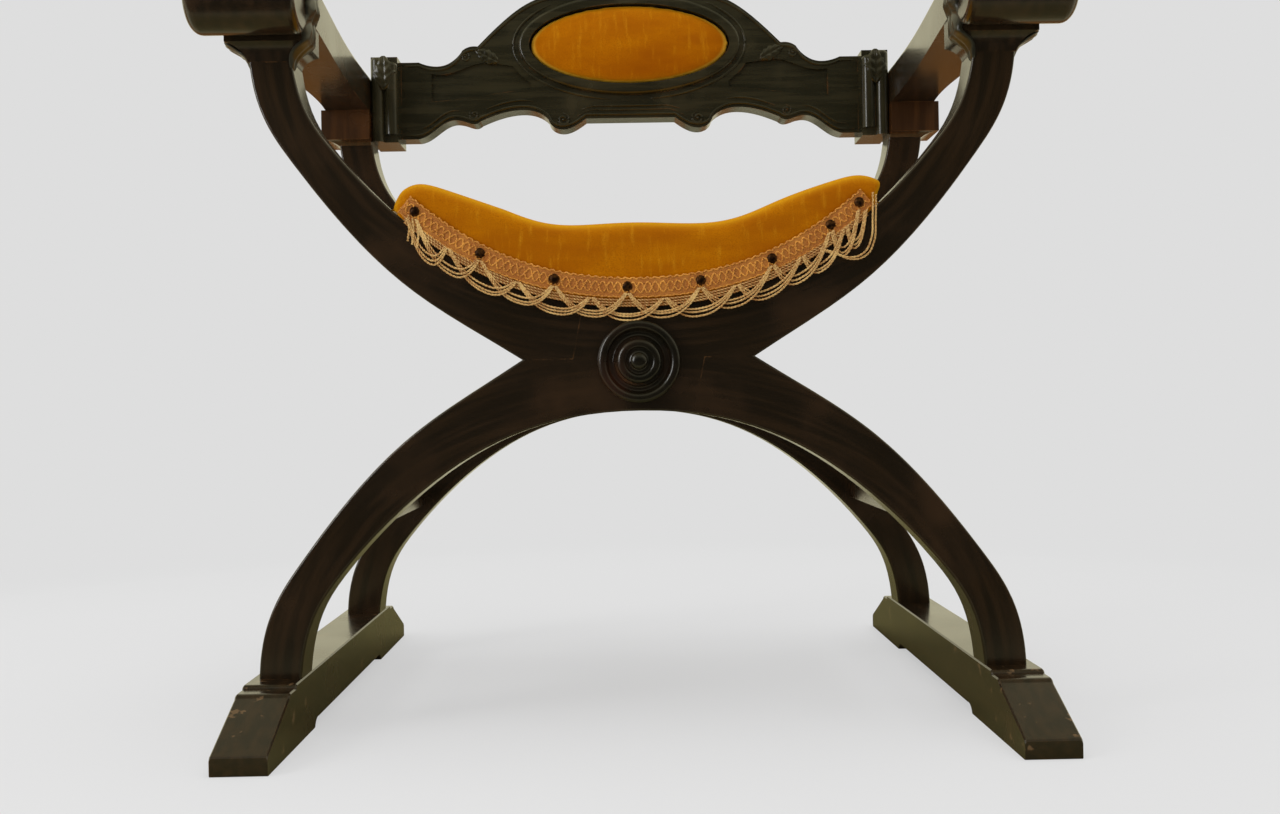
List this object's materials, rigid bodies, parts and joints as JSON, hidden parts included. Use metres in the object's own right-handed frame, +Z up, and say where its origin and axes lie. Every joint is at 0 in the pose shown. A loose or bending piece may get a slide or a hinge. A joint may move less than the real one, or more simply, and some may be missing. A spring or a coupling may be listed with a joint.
{
  "type": "savonarola chair",
  "caption": "Cross-leg armchair on curved frames, with sled feet, scrolled arms, a carved back rail holding an oval pad, and a lift-out velvet seat with braid and fringe.",
  "frame": {"origin": "on the floor, under the middle of the chair", "axes": "+X to the right of somebody who faces the chair, +Y from its front to its back, +Z up"},
  "size_m": [0.7154, 0.592, 0.744],
  "materials": {
    "ebonised_wood": "glossy polished",
    "seat_timber": "plain",
    "velvet": "velvet pile",
    "braid": "woven",
    "fringe": "twisted cord",
    "stuffing": "matte",
    "nail_brass": "darkened",
    "screw_steel": "dull"
  },
  "bodies": {
    "frame": {"front_leg_rising_right": "ebonised_wood", "front_leg_rising_left": "ebonised_wood", "rear_leg_rising_right": "ebonised_wood", "rear_leg_rising_left": "ebonised_wood", "right_foot": "ebonised_wood", "left_foot": "ebonised_wood", "foot_pegs": "ebonised_wood", "left_side_stretcher": "ebonised_wood", "right_side_stretcher": "ebonised_wood", "centre_stretcher": "ebonised_wood", "front_rosette": "ebonised_wood", "rear_rosette": "ebonised_wood", "front_right_capital": "ebonised_wood", "front_left_capital": "ebonised_wood", "rear_right_capital": "ebonised_wood", "rear_left_capital": "ebonised_wood", "right_arm": "ebonised_wood", "left_arm": "ebonised_wood", "arm_pegs": "ebonised_wood", "right_back_post": "ebonised_wood", "left_back_post": "ebonised_wood", "back_rail": "ebonised_wood", "back_pad_board": "seat_timber", "back_pad": "velvet", "pad_screws": "screw_steel"},
    "seat": {"seat_front_rail": "seat_timber", "seat_rear_rail": "seat_timber", "seat_right_end_rail": "seat_timber", "seat_left_end_rail": "seat_timber", "seat_slats": "seat_timber", "seat_stuffing": "stuffing", "seat_cover": "velvet", "seat_braid": "braid", "seat_fringe": "fringe", "front_nails": "nail_brass", "rear_nails": "nail_brass"}
  },
  "joints": [
    {"name": "seat_lift", "type": "slide", "parent": "frame", "child": "seat", "axis": [0, 0, 1], "range_m": [0, 0.42]}
  ]
}
